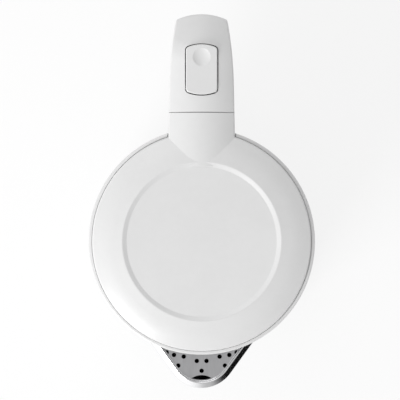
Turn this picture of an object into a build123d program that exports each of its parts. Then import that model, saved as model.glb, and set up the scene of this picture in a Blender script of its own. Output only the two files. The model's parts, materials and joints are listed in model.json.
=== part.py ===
from build123d import *
import os
from math import cos, radians, sin, sqrt, tan

# Electric kettle: a double-walled jug that lifts off a round power base.
# Millimetres. +Z is up, the spout points along -Y, the handle along +Y.
# The origin is on the table, on the axis that the jug turns about.

# ---- driving dimensions: whole kettle ----
kettle_top = 225.0
collar_radius = 75.5        # outside of the jug at its top
body_foot_radius = 79.0     # outside of the jug at its bottom
body_bulge = 0.8            # how far the side bows out between the two
lid_radius = 73.0
handle_reach = 153.4        # furthest point of the handle from the axis
spout_reach = 98.3          # furthest point of the spout from the axis

# ---- walls and clearances ----
plastic_wall = 2.4
lid_wall = 2.2
steel_wall = 0.8
seam = 0.3                  # visible gap between covers that part
slip = 0.3                  # gap between pieces that move or slide in
weld = 0.1                  # gap between fixed curved faces
pin_slip = 0.05             # radial clearance of a pin in its bore

# ---- power base ----
base_radius = 78.0
base_height = 20.0
base_seat = 16.0            # floor of the recess that the jug stands in
base_recess_radius = 66.5
base_plate_bottom = 1.6
base_plate_top = 4.0
foot_inner, foot_outer = 58.0, 66.0
foot_groove = 0.8
base_screw_circle = 44.0
gland_height = 8.8
gland_bore = 3.4
gland_tube = 4.4
gland_flange = 5.4
gland_length = 10.0
clamp_top = 12.6

# ---- connector between base and jug ----
tower_radius = 15.5
tower_top = 24.0
tower_flange = 22.0
slot_floor = 14.8
live_slot = 2.0
shutter_slot = (2.6, 5.2)
neutral_slot = (6.2, 8.8)
earth_slot = (11.2, 13.8)
ring_wall = 0.6
ring_inset = 0.8            # from a slot's inner wall to the jug's ring in it
socket_skirt_bottom = 20.5
socket_wall = 1.8

# ---- jug ----
shell_bottom = 21.0
shell_top = 209.0
ring_foot_inner, ring_foot_outer = 58.5, 64.0
liner_radius = 67.0
liner_bottom = 50.0
liner_mouth = 60.0
liner_top = 209.4
gasket_thickness = 0.6
collar_top = 217.0
collar_shelf = 211.6
heat_plate_radius = 60.0
heat_plate_thickness = 3.5
element_circle = 46.0
element_tube = 3.4
element_gap = 60.0          # degrees without element, at the front
control_radius = 24.0
bottom_screw_circle = 70.0
control_bottom, control_top = 28.0, 40.0

# ---- spout ----
spout_tip_radius = 24.0
spout_half_angle = 36.0
notch_back = 50.0           # how near the axis the spout's notch in the rim comes
lip_width = 4.5
lip_height = 213.0
spout_root = 166.0          # height where the beak leaves the body
spout_root_reach = 72.5     # how far out its tip is there
strainer_hole = 1.5
# strainer_slot: chord, then inner edge, chord and outer edge from the axis
strainer_slot = (13.6, 89.5, 91.6, 92.6)

# ---- lid ----
recess_radius = 49.8
recess_rim = 52.8
recess_depth = 1.1
lid_edge_height = 219.2
lid_mid = (63.5, 222.7)     # where the sloping border steepens
lid_skirt_bottom = 212.2
plug_radius = 58.8
plug_bottom = 207.0
lid_screw_circle = 46.0
neck_arch = 46.0            # radius of the arched top of neck and handle
neck_rear = 85.55
neck_hub = 5.6              # full round about the hinge on the neck's sides
neck_sector = 22.0          # degrees that the neck's rear end reaches below the hinge
cap_front = 85.7
hinge_y, hinge_z = 79.0, 217.0
hinge_pin = 1.5
hinge_ear = (9.0, 12.4)
hinge_lug = (12.8, 15.2)
bridge_bottom_edge = 213.8  # underside of the collar where it crosses the spout
arm_floor = 210.0           # the arm's top under the neck

# ---- handle ----
handle_root = (22.6, 50.0)  # half width and distance at the lid
handle_mid = (21.5, 104.0)
handle_end = (17.2, 149.5)
bend_y = 125.0              # where the top turns down
bend_angle = 26.0
bend_arch = 90.0
bend_radius = 25.0
edge_round = 1.8            # along the top of neck and handle
corner_round = 2.6          # upright corners at the handle's end
lower_round = 3.0           # along the lower outer edges
opening_round = 2.2         # round the hand opening
back_lean = 4.5             # degrees that the grip's back leans in
arm_underside = 199.0
bridge_top, bridge_bottom = 86.0, 60.0
cap_depth = 10.5
lining_depth = 7.0
lining_front = 88.5
handle_screws = [(9.0, 73.0), (9.0, 205.0)]     # half spacing and height

# ---- lid button ----
button_near, button_far = 97.4, 130.9
button_half_width = 10.45
button_bulge = 2.4
button_corner = 2.6
button_gap = 0.65
button_bottom = 219.4
button_pivot = (101.5, 219.0)
button_pin = 1.2
spring_y, spring_seat = 125.0, 208.4
latch_low, latch_high = 210.8, 213.2
finger_front, finger_thick = 116.0, 3.0
finger_knee = 216.0
finger_play = 0.6           # the finger steepens as the button turns
dimple_y, dimple_radius, dimple_depth = 122.4, 6.0, 1.3

# ---- switch lever ----
lever_pivot = (71.0, 34.0)
lever_half_width = 8.0
lever_reach = 91.0
lever_pin = 1.2


def turned(corners, radii=None):
    """A solid of revolution about Z from corners (r, z), each with its fillet radius."""
    points = [(r, 0, z) for r, z in corners]
    if radii is None:
        outline = Polyline(*points, close=True)
    else:
        outline = FilletPolyline(*points, radius=radii, close=True)
    return revolve(make_face(outline), Axis.Z)


def tube(outer, inner, bottom, top):
    """An upright tube about the Z axis."""
    return turned([(inner, bottom), (outer, bottom), (outer, top), (inner, top)])


def rod(radius, bottom, top, x=0.0, y=0.0):
    """An upright cylinder."""
    return Pos(x, y, bottom) * Cylinder(
        radius, top - bottom, align=(Align.CENTER, Align.CENTER, Align.MIN))


def cross_rod(radius, half_length, y, z):
    """A cylinder along X, centred on x = 0."""
    return Pos(0, y, z) * Rot(0, 90, 0) * Cylinder(radius, 2 * half_length)


def long_rod(radius, front, rear, x, z):
    """A cylinder along Y."""
    return Pos(x, (front + rear) / 2, z) * Rot(90, 0, 0) * Cylinder(radius, rear - front)


def block(x0, x1, y0, y1, z0, z1):
    return Pos((x0 + x1) / 2, (y0 + y1) / 2, (z0 + z1) / 2) * Box(x1 - x0, y1 - y0, z1 - z0)


def both_sides(half_inner, half_outer, corners, radii=None):
    """A YZ outline made into two plates, at +X and -X."""
    points = [(0, y, z) for y, z in corners]
    if radii is None:
        face = make_face(Polyline(*points, close=True))
    else:
        face = make_face(FilletPolyline(*points, radius=radii, close=True))
    plate = extrude(face, amount=half_outer - half_inner, dir=(1, 0, 0))
    return [Pos(half_inner, 0, 0) * plate, Pos(-half_outer, 0, 0) * plate]


def side_prism(corners, half_width, radii=None):
    """A YZ outline extruded across X, centred on x = 0."""
    points = [(-half_width, y, z) for y, z in corners]
    if radii is None:
        face = make_face(Polyline(*points, close=True))
    else:
        face = make_face(FilletPolyline(*points, radius=radii, close=True))
    return extrude(face, amount=2 * half_width, dir=(1, 0, 0))


def around(shape, count, start=0.0):
    """Copies of a shape turned about Z."""
    return [Rot(0, 0, start + 360.0 * k / count) * shape for k in range(count)]


def coil(radius, wire, bottom, top, turns):
    """A compression spring standing on `bottom`."""
    height = top - bottom - 2 * wire
    helix = Helix(pitch=height / turns, height=height, radius=radius)
    start = helix @ 0
    section = Plane(origin=start, z_dir=helix % 0) * Circle(wire)
    return Pos(0, 0, bottom + wire) * sweep(section, path=helix, is_frenet=True)


def screw(head, head_height, shank, length):
    """A pan-head screw, head down at z = 0, shank up."""
    body = rod(head, 0, head_height) + rod(shank, head_height, head_height + length)
    return body - block(-head, head, -0.4, 0.4, -1, 0.5) - block(-0.4, 0.4, -head, head, -1, 0.5)


# ---------------------------------------------------------------- shared outlines

def body_radius(z):
    """Outside radius of the jug's side at height z, without its bulge."""
    share = (z - shell_bottom) / (collar_top - shell_bottom)
    return body_foot_radius + share * (collar_radius - body_foot_radius)


def body_solid(inset, bottom, top):
    """The jug's bowed side as a solid, inset from the outside."""
    middle = (bottom + top) / 2
    side = ThreePointArc(
        (body_radius(bottom) - inset, 0, bottom),
        (body_radius(middle) + body_bulge - inset, 0, middle),
        (body_radius(top) - inset, 0, top))
    rest = Polyline(side @ 1, (0, 0, top), (0, 0, bottom), side @ 0)
    return revolve(make_face([side, rest]), Axis.Z)


def spout_path(inset, reach=spout_reach, back=30.0):
    """Line, arc and line: the spout's outline in plan, inset from its outer edge."""
    radius = spout_tip_radius - inset
    centre = -(reach - spout_tip_radius)
    c, s = cos(radians(spout_half_angle)), sin(radians(spout_half_angle))
    touch = (radius * c, centre - radius * s)
    run = (-back - touch[1]) / c
    far = (touch[0] + run * s, -back)
    left = Line((-far[0], far[1]), (-touch[0], touch[1]))
    tip = ThreePointArc((-touch[0], touch[1]), (0, centre - radius), touch)
    return left + tip + Line(touch, far)


def spout_face(inset, reach=spout_reach, back=30.0):
    path = spout_path(inset, reach, back)
    ends = Line(path.edges().sort_by(Axis.X)[-1] @ 1, path.edges().sort_by(Axis.X)[0] @ 0)
    return make_face(path.edges() + [ends])


def spout_prism(inset, bottom, top):
    return extrude(Pos(0, 0, bottom) * spout_face(inset), amount=top - bottom, dir=(0, 0, 1))


def spout_notch(inset, bottom, top):
    """The part of the spout's prism that lies in the jug's rim."""
    front = block(-60, 60, -120, -notch_back - max(inset, 0) * 0.4, bottom, top)
    return spout_prism(inset, bottom, top) & front


def beak(inset, bottom, top):
    """The tapering body of the spout between two heights."""
    def section(z):
        share = (z - spout_root) / (shell_top - spout_root)
        reach = spout_root_reach + share * (spout_reach - spout_root_reach)
        return Pos(0, 0, z) * spout_face(inset, reach)
    return loft([section(bottom), section(top)], ruled=True)


def plan_prism(inset, bottom, top, lean=0.0):
    """The handle's outline in plan, made into a prism whose back leans in going down."""
    w0, y0 = handle_root
    w1, y1 = handle_mid
    w2, y2 = handle_end
    right_line = Line((w0 - inset, y0), (w1 - inset, y1))
    right_arc = TangentArc((w1 - inset, y1), (w2 - inset, y2 - inset), tangent=right_line % 1)
    end = ThreePointArc(right_arc @ 1, (0, handle_reach - inset), (inset - w2, y2 - inset))
    left_arc = mirror(right_arc, about=Plane.YZ)
    left_line = mirror(right_line, about=Plane.YZ)
    front = Line((w0 - inset, y0), (inset - w0, y0))
    face = make_face([right_line, right_arc, end, left_arc, left_line, front])
    drop = top - bottom
    return extrude(Pos(0, 0, top) * face, amount=drop / cos(radians(lean)),
                   dir=(0, -sin(radians(lean)), -cos(radians(lean))))


def hand_opening(grow=0.0):
    """The gap that the fingers go through, as a YZ face grown outwards."""
    corners = [(40, bridge_top), (101, bridge_top + 3), (113, 112), (119.5, 150),
               (123.0, 185), (112, arm_underside), (40, arm_underside)]
    face = make_face(FilletPolyline(
        *[(0, y, z) for y, z in corners], radius=[0, 14, 30, 60, 12, 14, 0], close=True))
    if grow:
        face = offset(face, amount=grow)
    return Pos(-40, 0, 0) * extrude(face, amount=80, dir=(1, 0, 0))


def handle_solid(inset):
    """The whole handle, inset from its outside, without the hand opening."""
    drop = tan(radians(bend_angle))
    end_y = handle_reach + 6
    profile = side_prism(
        [(60, kettle_top + 5), (end_y, kettle_top + 5), (end_y, 96 + inset),
         (116 - inset, bridge_bottom + 4 + inset), (60, bridge_bottom - 3 + inset)],
        40, [0, 0, 40 - inset, 26 - inset, 0])
    prism = plan_prism(inset, bridge_bottom - 10, kettle_top + 6, back_lean)
    slope = Pos(0, bend_y, kettle_top) * Rot(-bend_angle, 0, 0)
    tilted = slope * Pos(0, 0, -bend_arch) * Rot(90, 0, 0) * Cylinder(bend_arch - inset, 240)
    arm = Pos(0, 100, kettle_top - neck_arch) * Rot(90, 0, 0) * Cylinder(neck_arch - inset, 260)
    tall = block(-40, 40, 40, 170, bridge_bottom - 20, kettle_top - 30)
    top = (arm & tilted) + tall
    return profile & prism & top


def button_outline(grow):
    """The lid button's plan: straight sides, bulging ends and round corners."""
    w = button_half_width + grow
    near, far = button_near - grow, button_far + grow
    right = Line((w, near + button_bulge), (w, far - button_bulge))
    far_end = ThreePointArc((w, far - button_bulge), (0, far), (-w, far - button_bulge))
    left = Line((-w, far - button_bulge), (-w, near + button_bulge))
    near_end = ThreePointArc((-w, near + button_bulge), (0, near), (w, near + button_bulge))
    face = make_face([right, far_end, left, near_end])
    return fillet(face.vertices(), button_corner + grow)


def strainer_holes():
    """Centres of the strainer's holes, distance measured towards the spout's tip."""
    centres = [(0.0, 86.6), (0.0, 73.4), (0.0, 66.6)]
    for x, y in [(3.25, 80.0), (12.0, 77.1), (18.5, 76.0), (23.4, 74.3), (15.6, 83.1),
                 (6.5, 73.2), (15.3, 70.4), (21.4, 68.4), (9.3, 67.4), (26.9, 69.2)]:
        centres += [(x, y), (-x, y)]
    return centres


# ---------------------------------------------------------------- power base

def make_base_cover():
    wall = plastic_wall - 0.2
    shell = turned(
        [(base_radius, 2.4), (base_radius, base_height - 5), (base_radius - 3.5, base_height),
         (base_recess_radius + 1, base_height), (base_recess_radius, base_seat),
         (tower_radius + 1.5, base_seat), (tower_radius + 1.5, base_seat - wall),
         (base_recess_radius + 1.6, base_seat - wall),
         (base_recess_radius + 2.6, base_height - wall),
         (base_radius - 4.7, base_height - wall), (base_radius - wall, base_height - 5.4),
         (base_radius - wall, 2.4)],
        [0.6, 5, 2.5, 0.8, 1, 0.6, 0, 0, 0, 0, 0, 0])
    boss = rod(4.2, base_plate_top + 0.2, base_seat - wall, y=base_screw_circle)
    hole = rod(1.3, base_plate_top - 1, base_seat - wall - 1.5, y=base_screw_circle)
    for post, drilled in zip(around(boss, 3, 60), around(hole, 3, 60)):
        shell = shell + post - drilled
    return shell - long_rod(gland_tube + weld, 60, base_radius + 5, 0, gland_height)


def make_base_plate():
    edge = base_radius - plastic_wall + 0.2 - slip
    plate = rod(edge, base_plate_bottom, base_plate_top)
    plate -= tube(foot_outer + weld, foot_inner - weld, base_plate_bottom - 1,
                  base_plate_bottom + foot_groove)
    recess = rod(3.4, base_plate_bottom - 1, base_plate_bottom + 1.4, y=base_screw_circle)
    hole = rod(1.7, base_plate_bottom - 1, base_plate_top + 1, y=base_screw_circle)
    for part in around(recess, 3, 60) + around(hole, 3, 60):
        plate -= part
    saddle = block(-9, 9, 50, 56, base_plate_top, gland_height)
    saddle -= long_rod(gland_bore, 40, 70, 0, gland_height)
    for x in (-6.4, 6.4):
        saddle -= rod(1.1, base_plate_top + 0.4, gland_height + 1, x, 53)
    return plate + saddle


def make_base_foot():
    ring = tube(foot_outer, foot_inner, 0, base_plate_bottom + foot_groove)
    edges = ring.edges().filter_by(GeomType.CIRCLE).group_by(Axis.Z)[0]
    return fillet(edges, 0.5)


def make_base_screws():
    one = Pos(0, base_screw_circle, base_plate_bottom + 0.1) * screw(3.0, 1.3, 1.25, 8)
    return around(one, 3, 60)


def make_cord_gland():
    tube_part = long_rod(gland_tube, base_radius - gland_length + 2, base_radius, 0, gland_height)
    flange = long_rod(gland_flange, base_radius, base_radius + 2, 0, gland_height)
    flange = fillet(flange.edges().group_by(Axis.Y)[-1], 0.8)
    return tube_part + flange - long_rod(gland_bore, 60, 90, 0, gland_height)


def make_cord_clamp():
    bar = block(-9, 9, 50, 56, gland_height + 0.4, clamp_top)
    bar -= long_rod(gland_bore, 40, 70, 0, gland_height)
    for x in (-6.4, 6.4):
        bar -= rod(1.4, gland_height, gland_height + 6, x, 53)
    return bar


def make_clamp_screws():
    one = Rot(180, 0, 0) * screw(2.2, 0.8, 1.0, 6)
    return [Pos(x, 53, clamp_top + 0.8) * one for x in (-6.4, 6.4)]


def make_base_connector():
    body = turned(
        [(0, base_seat - 5), (tower_flange, base_seat - 5), (tower_flange, base_seat - 2.5),
         (tower_radius + 1.2, base_seat - 2.5), (tower_radius + 1.2, base_seat + 0.6),
         (tower_radius, base_seat + 1.2), (tower_radius, tower_top), (0, tower_top)],
        [0, 0, 0, 0, 0, 0, 1.2, 0])
    for inner, outer in (shutter_slot, neutral_slot, earth_slot):
        body -= tube(outer, inner, slot_floor, tower_top + 1)
    return body - rod(live_slot, slot_floor, tower_top + 1)


def make_base_contacts():
    top = tower_top - 2
    contacts = [tube(live_slot - 0.05, live_slot - 0.4, slot_floor + weld, top)]
    for inner, outer in (neutral_slot, earth_slot):
        contacts.append(tube(outer - 0.05, outer - 0.05 - ring_wall, slot_floor + weld, top))
    return contacts


def make_pin_shutter():
    inner, outer = shutter_slot
    ring = tube(outer - 0.15, inner + 0.15, tower_top - 3.6, tower_top - 0.3)
    return chamfer(ring.edges().group_by(Axis.Z)[-1], 0.4)


def make_shutter_spring():
    inner, outer = shutter_slot
    return coil((inner + outer) / 2, 0.4, slot_floor + 0.05, tower_top - 3.8, 4)


# ---------------------------------------------------------------- jug, lower part

def make_bottom_cover():
    edge = body_radius(shell_bottom) - plastic_wall - slip - 0.4
    foot = base_seat + slip
    plate = turned(
        [(control_hole(), shell_bottom + 0.4), (ring_foot_inner, shell_bottom + 0.4),
         (ring_foot_inner, foot), (ring_foot_outer, foot), (ring_foot_outer, shell_bottom + 0.4),
         (edge, shell_bottom + 0.4), (edge, shell_bottom + 2.6), (control_hole(), shell_bottom + 2.6)],
        [0.5, 0.5, 1, 1, 0.5, 0, 0, 0])
    for hole in around(rod(1.7, 10, 30, y=bottom_screw_circle), 3, 30):
        plate -= hole
    for recess in around(rod(3.2, foot - 1, shell_bottom + 1.2, y=bottom_screw_circle), 3, 30):
        plate -= recess
    return plate


def control_hole():
    """Radius of the bottom cover's opening around the jug's socket."""
    return tower_radius + 0.7 + socket_wall + slip


def make_bottom_screws():
    one = Pos(0, bottom_screw_circle, shell_bottom - 0.1) * screw(2.8, 1.3, 1.25, 7)
    return around(one, 3, 30)


def make_outer_shell():
    outside = body_solid(0, shell_bottom, shell_top)
    outside = fillet(outside.edges().group_by(Axis.Z)[0], 2.0)
    inside = body_solid(plastic_wall, shell_bottom - 1, shell_top + 1)
    beak_top = shell_top - 1.6
    front = beak(0.9, spout_root - 4, beak_top) & block(-60, 60, -120, -40, 100, 260)
    hollow = beak(0.9 + plastic_wall, spout_root - 4, beak_top + 1) & block(-60, 60, -120, -40, 100, 260)
    gap = spout_prism(-slip, beak_top, shell_top + 5)
    shell = outside + front - inside - hollow - gap
    boss = rod(3.6, shell_bottom + 2.8, shell_bottom + 14, y=bottom_screw_circle)
    rib = block(-1, 1, bottom_screw_circle, body_radius(30) - 1.2, shell_bottom + 2.8, shell_bottom + 14)
    pilot = rod(1.3, shell_bottom, shell_bottom + 11, y=bottom_screw_circle)
    for post, drilled in zip(around(boss + rib, 3, 30), around(pilot, 3, 30)):
        shell = shell + post - drilled
    slot = block(-lever_half_width - 0.8, lever_half_width + 0.8, 60, 90,
                 lever_pivot[1] - 8, lever_pivot[1] + 5)
    for x, z in handle_screws:
        for side in (-x, x):
            shell -= long_rod(1.7, 65, 90, side, z)
    return shell - slot


def make_heat_plate():
    return rod(heat_plate_radius, liner_bottom - heat_plate_thickness, liner_bottom)


def make_heating_element():
    z = liner_bottom - heat_plate_thickness - element_tube
    arc = CenterArc((0, 0, z), element_circle, -90 + element_gap / 2, 360 - element_gap)
    start = Plane(origin=arc @ 0, z_dir=arc % 0) * Circle(element_tube)
    return sweep(start, path=arc)


def make_element_terminals():
    z = liner_bottom - heat_plate_thickness - element_tube
    pin = rod(1.5, z - 10, z - element_tube - 0.2, y=-element_circle)
    return [Rot(0, 0, side * (element_gap / 2 + 5)) * pin for side in (-1, 1)]


def make_control_unit():
    body = turned(
        [(0, tower_top + 0.6), (tower_radius + 0.7, tower_top + 0.6),
         (tower_radius + 0.7, socket_skirt_bottom),
         (tower_radius + 0.7 + socket_wall, socket_skirt_bottom),
         (tower_radius + 0.7 + socket_wall, control_bottom),
         (control_radius, control_bottom), (control_radius, control_top), (0, control_top)],
        [0, 0, 0.4, 0.4, 0, 1, 1, 0])
    post = rod(3.2, control_top, liner_bottom - heat_plate_thickness, y=18)
    for one in around(post, 3, 0):
        body += one
    body -= block(-control_radius, -14, -6, 6, control_top - 4, control_top + 1)
    return body - block(14, control_radius, -6, 6, control_top - 4, control_top + 1)


def make_jug_contacts():
    bottom = slot_floor + 2
    top = tower_top + 0.6
    pins = [rod(live_slot - 0.7, bottom, top)]
    for inner, _ in (neutral_slot, earth_slot):
        pins.append(tube(inner + ring_inset + ring_wall, inner + ring_inset, bottom, top))
    return pins


def make_snap_discs():
    discs = []
    z = liner_bottom - heat_plate_thickness
    for x in (-11.0, 11.0):
        dome = Pos(x, 0, z - 1.6) * turned([(0, 0.5), (6.5, 0), (6.5, 0.4), (0, 0.9)])
        discs.append(dome)
    return discs


def make_steam_switch():
    box = block(-11, 11, 48, 64, shell_bottom + 3.2, 40)
    box = fillet(box.edges().filter_by(Axis.Z), 1.5)
    return box - block(-4, 4, 60, 66, 30, 38)


def make_steam_tube():
    y = (liner_radius + body_radius(120) - plastic_wall) / 2 + 0.2
    top = 198.0
    path = FilletPolyline((0, liner_radius - steel_wall - 0.2, top), (0, y, top), (0, y, 42.0),
                          radius=2.6)
    outer = sweep(Plane(origin=path @ 0, z_dir=path % 0) * Circle(2.2), path=path)
    inner = sweep(Plane(origin=path @ 0, z_dir=path % 0) * Circle(1.5), path=path)
    return outer - inner


def make_liner():
    t = steel_wall
    r, b, top, mouth = liner_radius, liner_bottom, liner_top, liner_mouth
    cup = turned([(0, b), (r, b), (r, top - 1.8), (r - 0.5, top - 0.5), (r - 1.8, top),
                  (mouth, top), (mouth, top - t), (r - 2, top - t), (r - t - 0.4, top - t - 0.6),
                  (r - t, top - 2), (r - t, b + t), (0, b + t)],
                 [0, 5, 0, 0, 0, 0, 0, 0, 0, 0, 5 - t, 0])
    window = spout_notch(lip_width + 1, spout_root + 8, top + 1)
    steam_hole = long_rod(2.3, liner_radius - 3, liner_radius + 3, 0, 198.0)
    return cup - (window - rod(50, 100, 250)) - steam_hole


def make_lever_pin():
    return cross_rod(lever_pin, lever_half_width + 3, *lever_pivot)


def make_lever_bracket():
    y, z = lever_pivot
    x = lever_half_width
    ears = both_sides(x + slip, x + 2.5, [(64.4, shell_bottom + 2.8), (y + 2.6, shell_bottom + 2.8),
                                         (y + 2.6, z + 3), (64.4, z + 3)])
    web = block(-x - 2.5, x + 2.5, 64.2, 65.6, shell_bottom + 2.8, z - 3)
    bracket = ears[0] + ears[1] + web
    return bracket - cross_rod(lever_pin + weld / 2, x + 5, y, z)


def make_switch_lever():
    y, z = lever_pivot
    x = lever_half_width
    arm = side_prism([(y - 3.2, z + 3.2), (y + 3.2, z + 3.4), (lever_reach, z - 1.6),
                      (lever_reach, z - 5.6), (y + 2.6, z - 3.2), (y - 3.2, z - 3.2)],
                     x, [3, 4, 2.2, 1.6, 3, 3])
    arm = fillet(arm.edges().filter_by(Axis.Z), 1) if arm.edges().filter_by(Axis.Z) else arm
    lamp = rod(2.2, z - 8, z + 4, y=lever_reach - 5)
    return arm - cross_rod(lever_pin + pin_slip, x + 2, y, z) - lamp


def make_indicator_lens():
    y, z = lever_pivot
    arm_top = z - 1.6 + (lever_reach - (lever_reach - 5)) * 5.0 / (lever_reach - y - 3.2)
    lens = rod(2.2 - weld, z - 4.6, arm_top + 0.35, y=lever_reach - 5)
    return fillet(lens.edges().group_by(Axis.Z)[-1], 0.3)


# ---------------------------------------------------------------- jug, upper part

def make_top_collar():
    t = 2.2
    skirt_outer = body_radius(shell_top) - plastic_wall - slip
    shelf_bottom = liner_top + gasket_thickness
    ring = turned(
        [(collar_radius, shell_top + 0.1), (collar_radius, collar_top - 0.9),
         (collar_radius - 0.3, collar_top - 0.3), (collar_radius - 0.9, collar_top),
         (lid_radius + seam, collar_top), (lid_radius + seam, collar_shelf),
         (liner_mouth + 0.8, collar_shelf), (liner_mouth + 0.8, shelf_bottom),
         (skirt_outer - t, shelf_bottom), (skirt_outer - t, shell_top - 6),
         (skirt_outer - 0.3, shell_top - 6), (skirt_outer, shell_top - 5.6),
         (skirt_outer, shell_top + 0.1)])
    ring -= spout_notch(-slip, 190, bridge_bottom_edge)
    ring -= block(-16, 16, 60, 80, shell_top - 7, shell_top - 0.6)
    half = handle_root[0] + 0.2
    ring -= block(-half, half, 50, 90, collar_shelf, 230)
    y, z = hinge_y, hinge_z
    boss = 3.3
    foot = skirt_outer - t + 0.6
    rear = body_radius(shell_top) + 0.2
    ears = both_sides(*hinge_ear, [(foot, shelf_bottom + 0.4), (rear, shelf_bottom + 0.4),
                                   (y - 2.0, z - 3.8), (y + boss, z - boss),
                                   (y + boss, z + boss), (y - boss, z + boss),
                                   (foot, collar_shelf + 1.6)],
                      [0, 0, 0.6, 2.6, boss - 0.2, 2.5, 0.5])
    ring = ring + ears[0] + ears[1]
    return ring - cross_rod(hinge_pin + weld / 2, 30, y, z)


def make_liner_gasket():
    ring = tube(liner_radius - 1.2, liner_mouth + 1.0, liner_top, liner_top + gasket_thickness)
    return ring - spout_notch(-slip, 190, 230)


def make_spout_channel():
    walls = beak(lip_width - steel_wall, spout_root, shell_top) - beak(lip_width, spout_root - 1, shell_top + 1)
    top = spout_prism(lip_width - steel_wall, shell_top, shell_top + 0.4) - spout_prism(
        lip_width, shell_top - 1, shell_top + 2)
    walls = walls + top
    return walls - rod(liner_radius + weld, 100, 250) - block(-60, 60, -40, 60, 100, 250)


def make_spout_lip():
    """The polished pouring lip: a sloping band rolled over the beak's top edge."""
    path = spout_path(0)
    start = path.edges().sort_by(Axis.X)[0]
    origin, along = start @ 0, start % 0
    across = Vector(-along.Y, along.X, 0)
    t = steel_wall
    low = shell_top + 0.5
    corners = [(lip_width, low), (lip_width, lip_height), (0, lip_height - 3.7),
               (0, lip_height - 5.3), (t, lip_height - 5.3), (t, lip_height - 4.3),
               (lip_width - t, lip_height - 1.7), (lip_width - t, low)]
    points = [origin + across * s + Vector(0, 0, z) for s, z in corners]
    outline = FilletPolyline(*points, radius=[0, 0.7, 0.8, 0.2, 0.2, 0.3, 0.3, 0], close=True)
    band = sweep(make_face(outline), path=path)
    return band - rod(lid_radius + seam, 190, 230)


def make_spout_strainer():
    plate = spout_prism(lip_width + weld, liner_top, liner_top + steel_wall)
    plate -= rod(liner_mouth + 0.6, 190, 230)
    plate = plate & block(-60, 60, -120, -notch_back - slip, 190, 230)
    for x, y in strainer_holes():
        plate -= rod(strainer_hole, 190, 230, x, -y)
    chord, inner, middle, outer = strainer_slot
    lens = make_face([ThreePointArc((-chord / 2, -middle), (0, -inner), (chord / 2, -middle)),
                      ThreePointArc((chord / 2, -middle), (0, -outer), (-chord / 2, -middle))])
    return plate - extrude(Pos(0, 0, 190) * lens, amount=40, dir=(0, 0, 1))


def make_hinge_pin():
    return cross_rod(hinge_pin, hinge_lug[1], hinge_y, hinge_z)


def make_lid_springs():
    """Two torsion springs on the hinge pin, each with one leg forward."""
    springs = []
    for x in (2.6, -7.4):
        wound = coil(2.6, 0.4, 0, 4.8, 4)
        springs.append(Pos(x, hinge_y, hinge_z) * Rot(0, 90, 0) * wound)
    return springs


# ---------------------------------------------------------------- lid

def arm_solid(inset, low):
    """The arched bar that neck and handle are both cut from, its long edges rounded."""
    prism = plan_prism(inset, low, kettle_top + 6)
    arch = Pos(0, 100, kettle_top - neck_arch) * Rot(90, 0, 0) * Cylinder(neck_arch - inset, 260)
    bar = prism & arch
    sides = [e for e in bar.edges() if abs((e @ 0.5).X) > 12 and (e @ 0.5).Z > kettle_top - 10]
    return fillet(sides, max(edge_round - inset, 0.4))


def barrel_radius():
    """Radius about the hinge that the neck's rear end sweeps, at mid width."""
    return sqrt((neck_rear - hinge_y) ** 2 + (kettle_top - hinge_z) ** 2)


def barrel(grow):
    """The round that the neck's arched rear end sweeps about the hinge."""
    reach = neck_rear - hinge_y
    half = 24.0
    points = []
    for k in range(-4, 5):
        x = half * k / 4
        rise = kettle_top - neck_arch + sqrt(neck_arch ** 2 - x ** 2) - hinge_z
        points.append((x, sqrt(reach ** 2 + rise ** 2) + grow))
    outline = [Spline(*points), Polyline(points[-1], (half, 0), (-half, 0), points[0])]
    return Pos(0, hinge_y, hinge_z) * revolve(make_face(outline), Axis.X)


def neck_solid(inset, low):
    """The lid's neck towards the handle, down to height `low`."""
    front = arm_solid(inset, low) & block(-40, 40, 45, hinge_y, low, 240)
    sweep_low = tan(radians(neck_sector)) * 20
    sector = side_prism([(hinge_y, 240), (hinge_y, hinge_z), (hinge_y + 20, hinge_z - sweep_low),
                         (hinge_y + 20, 240)], 40)
    tall = arm_solid(inset, hinge_z - neck_hub - 1) & block(
        -40, 40, 70, neck_rear - inset, 200, 240)
    hub = cross_rod(neck_hub, 40, hinge_y, hinge_z)
    return front + (tall & sector & barrel(-inset)) + (tall & hub)


def lid_outside(edge, drop=0.0):
    """The lid's outer form out to radius `edge`, lowered by `drop`."""
    slope = (lid_mid[1] - lid_edge_height) / (lid_radius - lid_mid[0])
    edge_height = lid_edge_height - (edge - lid_radius) * slope
    floor = kettle_top - recess_depth
    return turned(
        [(0, 190), (edge, 190), (edge, edge_height - drop), (lid_mid[0], lid_mid[1] - drop),
         (recess_rim, kettle_top - drop), (recess_radius, floor - drop), (0, floor + 0.5 - drop)],
        [0, 0, 1.6, 60, 1.2, 0.9, 0])


def make_lid_cover():
    bottom = block(-100, 100, -100, 100, 150, lid_skirt_bottom)
    outside = lid_outside(lid_radius) - bottom
    inside = lid_outside(lid_radius - lid_wall, lid_wall)
    neck = neck_solid(0, lid_skirt_bottom)
    lid = outside + neck
    lid = lid - inside - neck_solid(lid_wall, lid_skirt_bottom - 5)
    boss = rod(3.2, lid_skirt_bottom + 1.8, kettle_top - recess_depth - 1.2, y=lid_screw_circle)
    pilot = rod(1.2, lid_skirt_bottom, kettle_top - recess_depth - 3.4, y=lid_screw_circle)
    for post, drilled in zip(around(boss, 4, 45), around(pilot, 4, 45)):
        lid = lid + post - drilled
    return lid


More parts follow.
